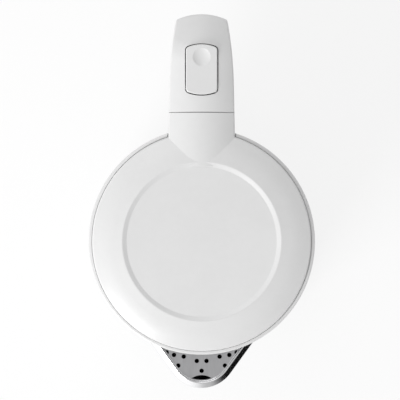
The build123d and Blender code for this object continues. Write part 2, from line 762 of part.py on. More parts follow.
def make_lid_inner():
    t = 1.4
    panel = turned(
        [(0, plug_bottom), (plug_radius, plug_bottom), (plug_radius, lid_skirt_bottom),
         (lid_radius - lid_wall - slip, lid_skirt_bottom),
         (lid_radius - lid_wall - slip, lid_skirt_bottom + t),
         (plug_radius - t, lid_skirt_bottom + t), (plug_radius - t, plug_bottom + t),
         (0, plug_bottom + t)],
        [0, 2.4, 0, 0.3, 0.3, 0.5, 1.2, 0])
    tower = rod(3.6, plug_bottom + t / 2, lid_skirt_bottom + 1.7, y=lid_screw_circle)
    hole = rod(1.6, 190, 230, y=lid_screw_circle)
    for post, drilled in zip(around(tower, 4, 45), around(hole, 4, 45)):
        panel = panel + post - drilled
    return panel


def make_lid_seal():
    """A flat seal ring with a thin outer lip resting just over the collar's shelf."""
    top = lid_skirt_bottom
    inner = plug_radius + weld
    return turned([(inner, top), (inner, top - 1.6), (liner_mouth + 0.4, top - 1.6),
                   (liner_mouth + 0.7, top - 0.45), (plug_radius + 6, top - 0.45),
                   (plug_radius + 6, top)],
                  [0, 0.3, 0.3, 0.1, 0.1, 0])


def make_lid_frame():
    y, z = hinge_y, hinge_z
    low = lid_skirt_bottom + 1.5
    boss = 2.9
    arms = both_sides(*hinge_lug, [(44, low), (y - 6, low), (y + boss, z - boss),
                                   (y + boss, z + boss), (y - 8, z + boss - 0.4), (44, z + 1)],
                      [0, 3, 2.5, 2.5, 6, 0])
    plate = block(-hinge_lug[1], hinge_lug[1], 44, 60, low, low + 2)
    frame = plate + arms[0] + arms[1]
    return frame - cross_rod(hinge_pin + pin_slip, 40, y, z)


def make_lid_screws():
    one = Pos(0, lid_screw_circle, plug_bottom - 1.02) * screw(2.6, 1.0, 1.1, 11)
    return around(one, 4, 45)


# ---------------------------------------------------------------- handle

def cap_zone():
    """Everything above the handle's parting line."""
    low = kettle_top - cap_depth
    fall = tan(radians(bend_angle)) * (handle_reach - bend_y)
    return side_prism([(cap_front, low), (bend_y - 2, low), (handle_reach - 3, low - fall + 1.5),
                       (170, low - fall + 1.5), (170, 250), (cap_front, 250)], 45,
                      [0, 20, 12, 0, 0, 0])


def hinge_pocket(grow=0.0):
    """The round pocket that the lid's neck turns in."""
    return barrel(slip + grow)


def lining_zone(grow=0.0):
    """The part of the handle that its lining makes up."""
    return hand_opening(lining_depth + grow) & block(-40, 40, lining_front - grow, 170, 60, 215)


def handle_outside():
    """The handle's whole outer form with the hand opening, clear of jug and lid."""
    form = handle_solid(0)
    upright = [e for e in form.edges()
               if abs(abs((e @ 0.5).X) - handle_end[0]) < 0.6 and e.bounding_box().size.Z > 60]
    form = fillet(upright, corner_round)
    crease = [e for e in form.edges() if abs((e @ 0.5).X) < 1 and abs((e @ 0.5).Y - bend_y) < 5
              and (e @ 0.5).Z > kettle_top - 4]
    form = fillet(crease, bend_radius)
    rim = [e for e in form.edges() if (e @ 0.5).Z > 200 and (e @ 0.5).Y > 62
           and (abs((e @ 0.5).X) > 12 or (e @ 0.5).Y > handle_reach - 5)]
    form = fillet(rim, edge_round)
    low = [e for e in form.edges() if (e @ 0.5).Z < 190 and (e @ 0.5).Y > 62
           and abs((e @ 0.5).X) > 15]
    form = fillet(low, lower_round) - hand_opening()
    opening = [e for e in form.edges() if 16 < abs((e @ 0.5).X) < 23 and is_opening_edge(e)]
    form = fillet(opening, opening_round)
    form -= body_solid(-slip, shell_bottom - 1, shell_top)
    form -= rod(body_radius(shell_top) + slip, shell_top - 1, 240)
    return form - block(-30, 30, 60, cap_front, arm_floor, 240) - hinge_pocket()


def is_opening_edge(edge):
    """True for edges round the hand opening that do not touch the jug end."""
    y, z = (edge @ 0.5).Y, (edge @ 0.5).Z
    return bridge_top - 1 < z < arm_underside + 1 and y < 124 and not (
        edge.bounding_box().size.Z > 120 and y < 70) and y > 62


def handle_inside():
    """The hollow inside the handle's walls."""
    hollow = handle_solid(plastic_wall) - hand_opening(plastic_wall)
    hollow -= body_solid(-slip - plastic_wall, shell_bottom - 1, shell_top + 20)
    hollow -= block(-30, 30, 60, cap_front + plastic_wall, arm_floor - plastic_wall, 240)
    return hollow - hinge_pocket(2.0)


def make_handle_cap(skin):
    cap = skin & cap_zone()
    hole = extrude(Pos(0, 0, 190) * button_outline(button_gap), amount=50, dir=(0, 0, 1))
    cap -= hole
    y, z = button_pivot
    x = button_half_width + button_gap
    ears = both_sides(x - 0.4, x + 2.0, [(y - 4, z - 3.2), (y + 4, z - 3.2), (y + 4, z + 2.6),
                                         (y - 4, z + 2.6)], [2.5, 2.5, 0, 0])
    cap = cap + ears[0] + ears[1]
    return cap - cross_rod(button_pin + weld / 2, 14, y, z)


def make_handle_lining(skin):
    return (skin & lining_zone()) - cap_zone()


def make_handle_body(skin, outside):
    body = skin - lining_zone(weld) - (Pos(0, 0, -weld) * cap_zone())
    inner = handle_solid(plastic_wall - 0.5)
    shelf = block(-30, 30, spring_y - 5, spring_y + 5, lining_top() + 0.2, spring_seat - 0.1)
    rail = block(-30, 30, 92, 98, lining_top() + 0.2, latch_low - 0.3)
    body += (shelf + rail) & inner
    for x, z in handle_screws:
        y = shell_seat(x, z)
        for side in (-x, x):
            body += long_rod(3.2, y + 3.4, y + 14, side, z) & outside
        for side in (-x, x):
            body -= long_rod(1.3, y, y + 12.5, side, z)
    mouth = block(-5.4, 5.4, cap_front - 1, 95, latch_low - 0.35, latch_high + 0.35)
    return body - mouth


def lining_top():
    """Height that the lining reaches in the arm."""
    return arm_underside + lining_depth


def shell_seat(x, z):
    """Distance of the shell's inner face from the axis, behind a screw head at x."""
    inner = body_radius(z) - plastic_wall
    return sqrt(inner ** 2 - (x + 2.8) ** 2) - 0.1


def make_handle_screws():
    screws = []
    for x, z in handle_screws:
        y = shell_seat(x, z)
        one = Rot(-90, 0, 0) * screw(2.8, 1.3, 1.2, 12)
        screws += [Pos(side, y - 1.3, z) * one for side in (-x, x)]
    return screws


def make_button_pin():
    return cross_rod(button_pin, button_half_width + button_gap + 1.9, *button_pivot)


def make_lid_button():
    top = kettle_top + 0.1
    body = extrude(Pos(0, 0, button_bottom) * button_outline(0), amount=top - button_bottom,
                   dir=(0, 0, 1))
    body = fillet(body.edges().group_by(Axis.Z)[-1], 0.8)
    body -= extrude(Pos(0, 0, button_bottom - 1) * button_outline(-1.6),
                    amount=top - button_bottom - 1.2, dir=(0, 0, 1))
    ball = (dimple_radius ** 2 + dimple_depth ** 2) / (2 * dimple_depth)
    pad = rod(dimple_radius + 2.2, top - 4.5, top - 1.1, y=dimple_y)
    body += pad & extrude(Pos(0, 0, 200) * button_outline(-1.0), amount=60, dir=(0, 0, 1))
    body -= Pos(0, dimple_y, top - dimple_depth + ball) * Sphere(ball)
    y, z = button_pivot
    lugs = both_sides(button_half_width - 3.4, button_half_width - 0.6,
                      [(y - 2.6, z - 2.8), (y + 3.4, z - 2.8), (y + 3.4, top - 1.7),
                       (y - 2.6, top - 1.7)], [2.4, 2.4, 0, 0])
    front, knee = finger_front, finger_knee
    run = knee - (latch_low - 1.2)
    finger = side_prism([(front, knee), (front, top - 1.7), (front + finger_thick, top - 1.7),
                         (front + finger_thick, knee), (front + finger_thick - run, knee - run),
                         (front - run, knee - run)], 2.6)
    body = body + lugs[0] + lugs[1] + finger
    return body - cross_rod(button_pin + pin_slip, 20, y, z)


def make_button_spring():
    return Pos(0, spring_y, 0) * coil(3.4, 0.4, spring_seat, kettle_top - 4.5, 5)


def make_latch_slider():
    """The bar that the button's finger draws back to free the lid."""
    nose = hinge_y + sqrt((barrel_radius() + slip) ** 2 - (hinge_z - latch_high) ** 2) + 0.4
    front = finger_front - (finger_knee - latch_low) - slip - finger_play
    rear = finger_front + finger_thick - (finger_knee - latch_high) + slip
    bar = block(-5, 5, nose, rear + 1.9, latch_low, latch_high)
    bar = chamfer(bar.edges().filter_by(Axis.X).group_by(Axis.Y)[0], 0.5)
    return bar - block(-3.0, 3.0, front, rear, latch_low - 1, latch_high + 1)


def main():
    os.makedirs("parts", exist_ok=True)
    outside = handle_outside()
    skin = outside - handle_inside()
    parts = {
        "base_cover": make_base_cover(),
        "base_plate": make_base_plate(),
        "base_foot_ring": make_base_foot(),
        "base_screws": make_base_screws(),
        "cord_gland": make_cord_gland(),
        "cord_clamp": make_cord_clamp(),
        "clamp_screws": make_clamp_screws(),
        "base_connector": make_base_connector(),
        "base_contacts": make_base_contacts(),
        "pin_shutter": make_pin_shutter(),
        "shutter_spring": make_shutter_spring(),
        "bottom_cover": make_bottom_cover(),
        "bottom_screws": make_bottom_screws(),
        "outer_shell": make_outer_shell(),
        "heat_plate": make_heat_plate(),
        "heating_element": make_heating_element(),
        "element_terminals": make_element_terminals(),
        "control_unit": make_control_unit(),
        "jug_contacts": make_jug_contacts(),
        "snap_discs": make_snap_discs(),
        "steam_switch": make_steam_switch(),
        "steam_tube": make_steam_tube(),
        "liner": make_liner(),
        "lever_bracket": make_lever_bracket(),
        "lever_pin": make_lever_pin(),
        "switch_lever": make_switch_lever(),
        "indicator_lens": make_indicator_lens(),
        "top_collar": make_top_collar(),
        "liner_gasket": make_liner_gasket(),
        "spout_channel": make_spout_channel(),
        "spout_lip": make_spout_lip(),
        "spout_strainer": make_spout_strainer(),
        "hinge_pin": make_hinge_pin(),
        "lid_springs": make_lid_springs(),
        "lid_cover": make_lid_cover(),
        "lid_inner": make_lid_inner(),
        "lid_seal": make_lid_seal(),
        "lid_frame": make_lid_frame(),
        "lid_screws": make_lid_screws(),
        "handle_cap": make_handle_cap(skin),
        "handle_lining": make_handle_lining(skin),
        "handle_body": make_handle_body(skin, outside),
        "handle_screws": make_handle_screws(),
        "lid_button": make_lid_button(),
        "button_pin": make_button_pin(),
        "button_spring": make_button_spring(),
        "latch_slider": make_latch_slider(),
    }
    for name, shape in parts.items():
        solids = shape if isinstance(shape, list) else [shape]
        solids = [s for piece in solids for s in piece.solids()]
        export_step(Compound(children=solids), f"parts/{name}.step")
        print(name, len(solids), round(sum(s.volume for s in solids), 1))


if __name__ == "__main__":
    main()
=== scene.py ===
import json
from math import cos, hypot, pi, radians, sin

import bmesh
import bpy
from mathutils import Matrix, Vector


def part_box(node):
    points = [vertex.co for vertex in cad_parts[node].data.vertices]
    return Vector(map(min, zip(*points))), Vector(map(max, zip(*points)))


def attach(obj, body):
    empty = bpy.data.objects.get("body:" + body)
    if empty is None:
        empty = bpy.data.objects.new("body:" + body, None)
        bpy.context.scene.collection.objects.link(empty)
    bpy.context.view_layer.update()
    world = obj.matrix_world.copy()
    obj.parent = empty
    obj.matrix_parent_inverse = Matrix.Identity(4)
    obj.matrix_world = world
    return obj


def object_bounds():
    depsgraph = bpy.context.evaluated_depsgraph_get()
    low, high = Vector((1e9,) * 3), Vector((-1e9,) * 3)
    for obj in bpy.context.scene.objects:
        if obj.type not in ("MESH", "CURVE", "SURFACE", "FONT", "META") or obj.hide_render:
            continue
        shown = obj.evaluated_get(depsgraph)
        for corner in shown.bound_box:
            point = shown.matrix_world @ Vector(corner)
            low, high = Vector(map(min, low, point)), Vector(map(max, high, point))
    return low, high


bl_info = {
    "name": "Electric Kettle Finish",
    "version": (1, 0, 0),
    "blender": (4, 5, 0),
    "location": "View3D > Sidebar > Kettle",
    "description": "Finishes, fine trim, light and camera for the packed electric kettle",
    "category": "Object",
}

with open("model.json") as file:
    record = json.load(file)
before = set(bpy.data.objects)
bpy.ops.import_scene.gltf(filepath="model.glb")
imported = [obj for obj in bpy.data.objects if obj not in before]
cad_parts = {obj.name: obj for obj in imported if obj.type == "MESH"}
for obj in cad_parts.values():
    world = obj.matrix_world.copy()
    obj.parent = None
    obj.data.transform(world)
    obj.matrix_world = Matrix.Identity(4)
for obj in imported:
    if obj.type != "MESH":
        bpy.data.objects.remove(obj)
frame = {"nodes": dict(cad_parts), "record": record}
cad_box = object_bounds()
MM = 0.001
CIRCLE = 2 * pi
TOUCHING = 0.00001              # corners nearer than this are one corner
SHARP = radians(35)             # edges that turn more than this are rounded

# the spout's lip and strainer
LIP_BEND = 24.0 * MM            # radius of the pouring lip's outer edge at its tip
LIP_WIDTH = 4.5 * MM
LIP_ANGLE = radians(36)         # lean of the lip's straight sides from the middle line
BEAD_SIDE = 26 * MM             # how far the bead runs along each straight side
BEAD_STEPS = 12                 # steps of the bead round half of the tip
HOLE = 1.5 * MM                 # radius of a strainer hole
MIDDLE_HOLES = (86.6, 73.4, 66.6)                    # mm from the lid's middle to the tip
SIDE_HOLES = ((3.25, 80.0), (12.0, 77.1), (18.5, 76.0), (23.4, 74.3), (15.6, 83.1),
              (6.5, 73.2), (15.3, 70.4), (21.4, 68.4), (9.3, 67.4), (26.9, 69.2))

# marks and ribs; a rib's size is along x, y and z before it is turned
LEVELS = ((0.088, 5.0), (0.118, 5.0), (0.148, 5.0), (0.178, 9.0))   # height, half width in mm
LID_RIBS = 12
LID_RIB = (30 * MM, 1.4 * MM, 1.6 * MM)
LID_RINGS = (("lid_drip_ring", 51.5, 2.4), ("lid_boss_ring", 17.0, 1.2))  # radius, depth in mm
BASE_RIBS = 24
CORD_GAP = (5, 6)               # base ribs left out where the cord's saddle is
BASE_RIB_DEPTH = 0.7 * MM
GRIP_RIBS = 9
GRIP_RIB = (22 * MM, 1.2 * MM, 1.8 * MM)
GRIP_START, GRIP_STEP = 0.114, 0.0075                # height of the lowest rib, and spacing

# studio: name, place, side and watts of each softbox
LAMPS = (("key_softbox", (-0.95, -1.05, 1.25), 0.75, 15),
         ("fill_softbox", (-0.3, 1.25, 1.5), 0.9, 4))
LAMP_AIM = (0, 0, 0.2)
FLOOR_SIDE = 40.0
CAMERA_X, CAMERA_Y = -0.0011, 0.0276
SENSOR = 36                     # mm


# ------------------------------------------------------------------ shader maths

class Wire:
    """A shader socket that can be added, multiplied and subtracted like a number."""

    def __init__(self, paint, socket):
        self.paint = paint
        self.socket = socket

    def _maths(self, operation, first, second):
        return self.paint.node("ShaderNodeMath", {"operation": operation}, {0: first, 1: second})

    def __add__(self, other):
        return self._maths("ADD", self, other)

    def __radd__(self, other):
        return self._maths("ADD", other, self)

    def __sub__(self, other):
        return self._maths("SUBTRACT", self, other)

    def __rsub__(self, other):
        return self._maths("SUBTRACT", other, self)

    def __mul__(self, other):
        return self._maths("MULTIPLY", self, other)

    def __rmul__(self, other):
        return self._maths("MULTIPLY", other, self)

    def __pow__(self, other):
        return self._maths("POWER", self, other)


class Paint:
    """One material, and the one way that nodes get into it."""

    def __init__(self, name):
        self.material = bpy.data.materials.new(name)
        self.material.use_nodes = True
        self.tree = self.material.node_tree
        self.tree.nodes.clear()
        self.shader = self.tree.nodes.new("ShaderNodeBsdfPrincipled")
        output = self.tree.nodes.new("ShaderNodeOutputMaterial")
        self.tree.links.new(self.shader.outputs["BSDF"], output.inputs["Surface"])

    def node(self, kind, settings=None, sockets=None, out=0):
        """Add a node: its settings first, then the values or wires of its sockets."""
        made = self.tree.nodes.new(kind)
        for name, value in (settings or {}).items():
            if name == "stops":
                ramp = made.color_ramp
                for index, (place, colour) in enumerate(value):
                    stop = (ramp.elements[index] if index < len(ramp.elements)
                            else ramp.elements.new(place))
                    stop.position = place
                    stop.color = colour
            else:
                setattr(made, name, value)
        for name, value in (sockets or {}).items():
            self.feed(made.inputs[name], value)
        return Wire(self, made.outputs[out])

    def feed(self, socket, value):
        """Give a socket a value or a wire."""
        if isinstance(value, Wire):
            self.tree.links.new(value.socket, socket)
        else:
            socket.default_value = value

    def put(self, **values):
        """Set the shader's own sockets, named with _ for a space."""
        for name, value in values.items():
            self.feed(self.shader.inputs[name.replace("_", " ")], value)
        return self

    def place(self):
        """Where a point is on the piece, in metres."""
        return self.node("ShaderNodeTexCoord", out="Object")

    def stretched(self, where, scale, turn=(0, 0, 0)):
        """Places scaled and turned, so that a pattern runs long in one direction."""
        return self.node("ShaderNodeMapping", {}, {
            "Vector": where, "Scale": scale, "Rotation": turn})

    def axes(self, where):
        """The x, y and z of a place."""
        split = self.node("ShaderNodeSeparateXYZ", {}, {0: where})
        return [Wire(self, output) for output in split.socket.node.outputs]

    def noise(self, where, scale, detail=2.0, rough=0.5, warp=0.0):
        return self.node("ShaderNodeTexNoise", {}, {
            "Vector": where, "Scale": scale, "Detail": detail, "Roughness": rough,
            "Distortion": warp})

    def step(self, value, low, high):
        """A smooth ramp from 0 to 1 as a number goes from one limit to the other."""
        return self.node("ShaderNodeMapRange", {"interpolation_type": "SMOOTHSTEP"}, {
            "Value": value, "From Min": low, "From Max": high})

    def blend(self, share, first, second):
        """Mix two colours."""
        return self.node("ShaderNodeMix", {"data_type": "RGBA"}, {
            0: share, 6: first, 7: second}, out=2)

    def bump(self, height, depth, strength):
        """Relief of so many metres, as a normal."""
        return self.node("ShaderNodeBump", {}, {
            "Height": height, "Distance": depth, "Strength": strength})


def grey(level):
    return (level, level, level, 1)


def shaded(tone, share):
    """A colour made darker or lighter."""
    return [c * share for c in tone[:3]] + [1]


# ------------------------------------------------------------------ finishes

def moulded_plastic(name, tone, gloss, peel):
    """Injection-moulded plastic: faint flow mottling, orange peel and hairline scuffs."""
    p = Paint(name)
    where = p.place()
    flow = p.noise(p.stretched(where, (1, 1, 0.45)), 26, 3, 0.55, 0.6)
    mottle = p.noise(where, 240, 2)
    skin = p.noise(where, 620, 2, 0.45)
    pores = p.noise(where, 3600, 1)
    hair = p.noise(p.stretched(where, (1, 9, 3), (0.3, 0.2, 0.9)), 260, 2, 0.7, 0.8)
    scuff = p.step(hair, 0.62, 0.74) * 0.4
    tint = flow * 0.7 + mottle * 0.3
    p.put(Base_Color=p.blend(p.step(tint, 0.3, 0.7), shaded(tone, 0.972), tuple(tone)),
          Roughness=gloss + (flow - 0.5) * 0.07 + (mottle - 0.5) * 0.05 + scuff * 0.05,
          Normal=p.bump(skin * 0.8 + pores * 0.2 - scuff * 0.25, 0.000022, peel),
          IOR=1.49)
    return p


def white_plastic(tone):
    """The shell, lid and handle: glossy, with a thin clear skin."""
    p = moulded_plastic("glossy_white_plastic", tone, 0.30, 0.5)
    p.put(Coat_Weight=0.12, Coat_Roughness=0.12)
    return p.material


def satin_plastic(tone):
    """Inner mouldings, duller and coarser than the outside."""
    return moulded_plastic("satin_white_plastic", tone, 0.46, 0.8).material


def eroded_plastic(name, tone, gloss):
    """Spark-eroded technical plastic: an even fine grain."""
    p = Paint(name)
    where = p.place()
    grain = p.noise(where, 2600, 3, 0.6)
    cloud = p.noise(where, 60, 3)
    p.put(Base_Color=p.blend(p.step(cloud, 0.3, 0.7), tuple(tone), shaded(tone, 1.18)),
          Roughness=gloss + (grain - 0.5) * 0.25,
          Normal=p.bump(grain, 0.00006, 0.6), IOR=1.5)
    return p.material


def polished_steel():
    """Mirror-polished sheet: faint wipe marks and the slight waviness of a rolled lip."""
    p = Paint("polished_steel")
    where = p.place()
    wipe = p.noise(p.stretched(where, (1, 7, 1), (0, 0, 0.6)), 210, 3, 0.6)
    wave = p.noise(where, 85, 1)
    scratch = p.step(p.noise(p.stretched(where, (16, 1, 4), (0, 0, 0.35)), 420, 2), 0.66, 0.72)
    p.put(Base_Color=p.blend(wipe, (0.80, 0.80, 0.81, 1), (0.87, 0.87, 0.88, 1)), Metallic=1.0,
          Roughness=0.07 + wipe * 0.06 + scratch * 0.08,
          Normal=p.bump(wave + scratch * 0.08, 0.00012, 0.55))
    return p.material


def brushed_sheet():
    """Sheet steel brushed in one direction, lengthwise to the spout."""
    p = Paint("brushed_sheet_steel")
    where = p.place()
    lines = p.noise(p.stretched(where, (1, 0.045, 1)), 2400, 2, 0.6)
    broad = p.noise(p.stretched(where, (1, 0.2, 1)), 160, 3)
    p.put(Base_Color=p.blend(lines * 0.6 + broad * 0.4, (0.44, 0.44, 0.45, 1),
                             (0.64, 0.64, 0.65, 1)),
          Metallic=1.0, Roughness=0.26 + lines * 0.12 + broad * 0.05,
          Normal=p.bump(lines, 0.00003, 0.7))
    return p.material


def spun_steel():
    """The pot and its channel: brushed round the axis, with water stains low down."""
    p = Paint("spun_steel")
    where = p.place()
    x, y, z = p.axes(where)
    radius = (x * x + y * y) ** 0.5
    rings = p.node("ShaderNodeCombineXYZ", {}, {0: radius, 1: 0.0, 2: z})
    lines = p.noise(rings, 2100, 2, 0.6)
    stain = p.noise(where, 70, 4, 0.6, 0.5)
    marks = p.step(stain, 0.56, 0.66) * p.step(z, 0.09, 0.05)
    base = p.blend(lines, (0.68, 0.68, 0.69, 1), (0.82, 0.82, 0.83, 1))
    p.put(Base_Color=p.blend(marks * 0.35, base, (0.62, 0.57, 0.50, 1)), Metallic=1.0,
          Roughness=0.20 + lines * 0.12 + marks * 0.12,
          Normal=p.bump(lines, 0.00003, 0.6))
    return p.material


def cast_metal(name, low, high, rough, grain_scale, depth):
    """Plain metal with a fine even grain: castings, screws, springs and sheaths."""
    p = Paint(name)
    where = p.place()
    grain = p.noise(where, grain_scale, 4, 0.6)
    cloud = p.noise(where, 150, 3)
    p.put(Base_Color=p.blend(cloud, tuple(low), tuple(high)), Metallic=1.0,
          Roughness=rough + (grain - 0.5) * 0.2, Normal=p.bump(grain, depth, 0.5))
    return p.material


def rubber(name, tone):
    """Moulded rubber or silicone, with a fine grain and a little dust."""
    p = Paint(name)
    where = p.place()
    grain = p.noise(where, 1700, 3)
    dust = p.step(p.noise(where, 130, 4, 0.6), 0.5, 0.75)
    p.put(Base_Color=p.blend(dust * 0.3, tuple(tone), grey(0.45)),
          Roughness=0.62 + grain * 0.2, Normal=p.bump(grain, 0.00006, 0.5), IOR=1.45)
    return p.material


def lamp_lens():
    """Clear bluish plastic of the indicator."""
    p = Paint("lamp_lens")
    where = p.place()
    ripple = p.noise(where, 700, 1)
    p.put(Base_Color=p.blend(ripple, (0.55, 0.70, 0.90, 1), (0.72, 0.84, 0.98, 1)),
          Roughness=0.08 + ripple * 0.05, Transmission_Weight=0.75, IOR=1.49,
          Normal=p.bump(ripple, 0.00005, 0.4))
    return p.material


def floor_paint(tone, glow):
    """A plain pale floor that shines a little by itself, so that it stays even."""
    p = Paint("studio_floor")
    where = p.place()
    cloud = p.noise(where, 3, 2)
    p.put(Base_Color=p.blend(cloud, shaded(tone, 0.995), tuple(tone)),
          Roughness=0.85, Emission_Color=(1, 1, 1, 1), Emission_Strength=glow)
    return p.material


# ------------------------------------------------------------------ modelling helpers

def deselect():
    if bpy.context.mode != "OBJECT":
        bpy.ops.object.mode_set(mode="OBJECT")
    bpy.ops.object.select_all(action="DESELECT")


def named(name):
    """Name the active piece and put its place into its mesh."""
    piece = bpy.context.active_object
    piece.name = name
    piece.data.name = name
    bpy.ops.object.transform_apply(location=True, rotation=True, scale=True)
    return piece


def take(*pieces):
    """Select these pieces and no others, with the first one active."""
    deselect()
    for piece in pieces:
        piece.select_set(True)
    bpy.context.view_layer.objects.active = pieces[0]


def edit(piece):
    """Go into edit mode on a piece, with all of it selected."""
    take(piece)
    bpy.ops.object.mode_set(mode="EDIT")
    bpy.ops.mesh.select_mode(type="VERT")
    bpy.ops.mesh.select_all(action="SELECT")


def pick(piece, test):
    """Select the piece's corners whose place passes a test."""
    bpy.ops.mesh.select_mode(type="VERT")
    bpy.ops.mesh.select_all(action="DESELECT")
    mesh = bmesh.from_edit_mesh(piece.data)
    for corner in mesh.verts:
        corner.select_set(test(corner.co))
    mesh.select_flush_mode()
    bmesh.update_edit_mesh(piece.data)


def close_up():
    """Merge doubles, turn the faces outwards and leave edit mode."""
    bpy.ops.mesh.select_all(action="SELECT")
    bpy.ops.mesh.remove_doubles(threshold=TOUCHING)
    bpy.ops.mesh.normals_make_consistent(inside=False)
    bpy.ops.object.mode_set(mode="OBJECT")


def smooth(piece, angle):
    """Shade a piece smooth, apart from edges that turn more than so many degrees."""
    take(piece)
    bpy.ops.object.shade_smooth_by_angle(angle=radians(angle))


def rounded(piece, width, segments):
    """Bevel the piece's sharp edges and apply it."""
    take(piece)
    cut = piece.modifiers.new("Edges", "BEVEL")
    cut.width = width
    cut.segments = segments
    cut.limit_method = "ANGLE"
    cut.angle_limit = SHARP
    bpy.ops.object.modifier_apply(modifier=cut.name)


def grow(x=0.0, y=0.0, z=0.0):
    """Extrude what is selected and move it."""
    bpy.ops.mesh.extrude_region_move(TRANSFORM_OT_translate={"value": (x, y, z)})


def hoop(name, profile, sides):
    """A closed ring about the upright axis, its section a loop of (radius, height) points."""
    radius, height = profile[0]
    deselect()
    bpy.ops.mesh.primitive_circle_add(vertices=sides, radius=radius, fill_type="NOTHING",
                                      location=(0, 0, height))
    ring = named(name)
    edit(ring)
    for (r0, z0), (r1, z1) in zip(profile, profile[1:]):
        grow(z=z1 - z0)
        bpy.ops.transform.resize(value=(r1 / r0, r1 / r0, 1), center_override=(0, 0, 0))

    def at_ends(place):
        reach = hypot(place.x, place.y)
        return any(abs(reach - r) < TOUCHING and abs(place.z - z) < TOUCHING / 10
                   for r, z in (profile[0], profile[-1]))

    pick(ring, at_ends)
    bpy.ops.mesh.select_mode(type="EDGE")
    bpy.ops.mesh.bridge_edge_loops()
    close_up()
    return ring


def copies(piece, name, places):
    """Copies of a piece, each with its own mesh, moved and turned, joined into one piece."""
    made = []
    for x, y, turn in places:
        twin = piece.copy()
        twin.data = piece.data.copy()
        twin.data.transform(Matrix.Translation((x, y, 0)) @ Matrix.Rotation(turn, 4, "Z"))
        bpy.context.scene.collection.objects.link(twin)
        made.append(twin)
    bpy.data.objects.remove(piece)
    return joined(name, made)


def bar(name, middle, size, edge, segments=2):
    """A straight rib with rounded edges, by its middle and its size."""
    deselect()
    bpy.ops.mesh.primitive_cube_add(size=1, location=middle, scale=size)
    rib = named(name)
    rounded(rib, edge, segments)
    return rib


def joined(name, pieces):
    """Several pieces made into one, under a new name."""
    take(*pieces)
    bpy.ops.object.join()
    whole = bpy.context.active_object
    whole.name = name
    whole.data.name = name
    return whole


def follow(name, path, height, radius, sides):
    """A round bead that follows a level path of (x, y) points."""
    points = [Vector((x, y, height)) for x, y in path]
    heading = (points[1] - points[0]).normalized()
    deselect()
    bpy.ops.mesh.primitive_circle_add(
        vertices=sides, radius=radius, fill_type="NGON", location=points[0],
        rotation=heading.to_track_quat("Z", "Y").to_euler())
    bead = named(name)
    edit(bead)
    for before, here, after in zip(points, points[1:], points[2:] + [None]):
        grow(*(here - before))
        if after is None:
            break
        onward = (after - here).normalized()
        turn = heading.angle(onward) * (1 if heading.cross(onward).z > 0 else -1)
        bpy.ops.transform.rotate(value=-turn, orient_axis="Z", orient_type="GLOBAL",
                                 center_override=here)
        heading = Matrix.Rotation(turn, 3, "Z") @ heading
    close_up()
    return bead


def paint_with(piece, material):
    piece.data.materials.clear()
    piece.data.materials.append(material)


def dress(piece, node, body):
    """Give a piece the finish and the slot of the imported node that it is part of."""
    paint_with(piece, frame["nodes"][node].data.materials[0])
    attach(piece, body)


def wall(node, start, heading):
    """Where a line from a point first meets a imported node."""
    hit, place = frame["nodes"][node].ray_cast(Vector(start), Vector(heading))[:2]
    if not hit:
        raise RuntimeError("no wall of " + node + " was found")
    return place


# ------------------------------------------------------------------ properties

class KettleFinishSettings(bpy.types.PropertyGroup):
    white: bpy.props.FloatVectorProperty(
        name="White plastic", description="Colour of the outer mouldings", subtype="COLOR",
        size=4, min=0, max=1, default=(0.80, 0.80, 0.80, 1))
    satin: bpy.props.FloatVectorProperty(
        name="Satin plastic", description="Colour of the inner mouldings", subtype="COLOR",
        size=4, min=0, max=1, default=(0.74, 0.74, 0.74, 1))
    light_grey: bpy.props.FloatVectorProperty(
        name="Grey plastic", description="Colour of the parts underneath", subtype="COLOR",
        size=4, min=0, max=1, default=(0.50, 0.50, 0.51, 1))
    black: bpy.props.FloatVectorProperty(
        name="Black plastic", description="Colour of the electrical mouldings",
        subtype="COLOR", size=4, min=0, max=1, default=(0.035, 0.035, 0.038, 1))


class KettleTrimSettings(bpy.types.PropertyGroup):
    bead: bpy.props.FloatProperty(
        name="Lip bead", description="Thickness of the bead inside the pouring lip",
        subtype="DISTANCE", unit="LENGTH", default=0.0009)
    collar: bpy.props.FloatProperty(
        name="Hole collar", description="Depth of the punched collar under a strainer hole",
        subtype="DISTANCE", unit="LENGTH", default=0.0007)


class KettleStageSettings(bpy.types.PropertyGroup):
    height: bpy.props.FloatProperty(
        name="Camera height", description="Height of the camera above the lid",
        subtype="DISTANCE", unit="LENGTH", default=1.6)
    width: bpy.props.FloatProperty(
        name="View width", description="Width that the view takes in at the lid's height",
        subtype="DISTANCE", unit="LENGTH", default=0.265)
    floor: bpy.props.FloatVectorProperty(
        name="Floor", description="Colour of the studio floor", subtype="COLOR", size=4,
        min=0, max=1, default=(0.20, 0.20, 0.20, 1))
    glow: bpy.props.FloatProperty(
        name="Floor glow", description="How much the floor shines by itself", default=0.775)


# ------------------------------------------------------------------ operators

